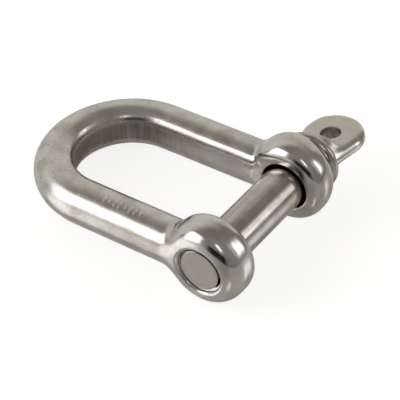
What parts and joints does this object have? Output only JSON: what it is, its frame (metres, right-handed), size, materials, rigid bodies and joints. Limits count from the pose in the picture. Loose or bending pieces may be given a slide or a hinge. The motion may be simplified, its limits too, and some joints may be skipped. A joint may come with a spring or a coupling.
{
  "type": "screw pin shackle",
  "caption": "Stainless D-shaped shackle with a forged body, two round eyes and a screw pin with a flat, drilled head.",
  "frame": {"origin": "on the pin's axis, midway between the inner faces of the two eyes", "axes": "+X along the pin towards its head, +Y from the pin to the crown, +Z square to the plane of the body"},
  "size_m": [0.061, 0.0649, 0.0194],
  "materials": {
    "body_steel": "polished forged stainless steel",
    "pin_steel": "polished turned stainless steel"
  },
  "bodies": {
    "shackle": {"shackle_body": "body_steel"},
    "collar": {"pin_collar": "pin_steel"},
    "pin": {"screw_pin": "pin_steel"}
  },
  "joints": [
    {"name": "pin_travel", "type": "slide", "parent": "shackle", "child": "collar", "axis": [1, 0, 0], "range_m": [0, 0.036]},
    {"name": "pin_turn", "type": "hinge", "parent": "collar", "child": "pin", "pos_m": [0.0213, 0, 0], "axis": [1, 0, 0], "range_deg": [0, 8640]}
  ],
  "couplings": [
    {"joint": "pin_turn", "follows": "pin_travel", "rad_per_m": 4188.8}
  ]
}
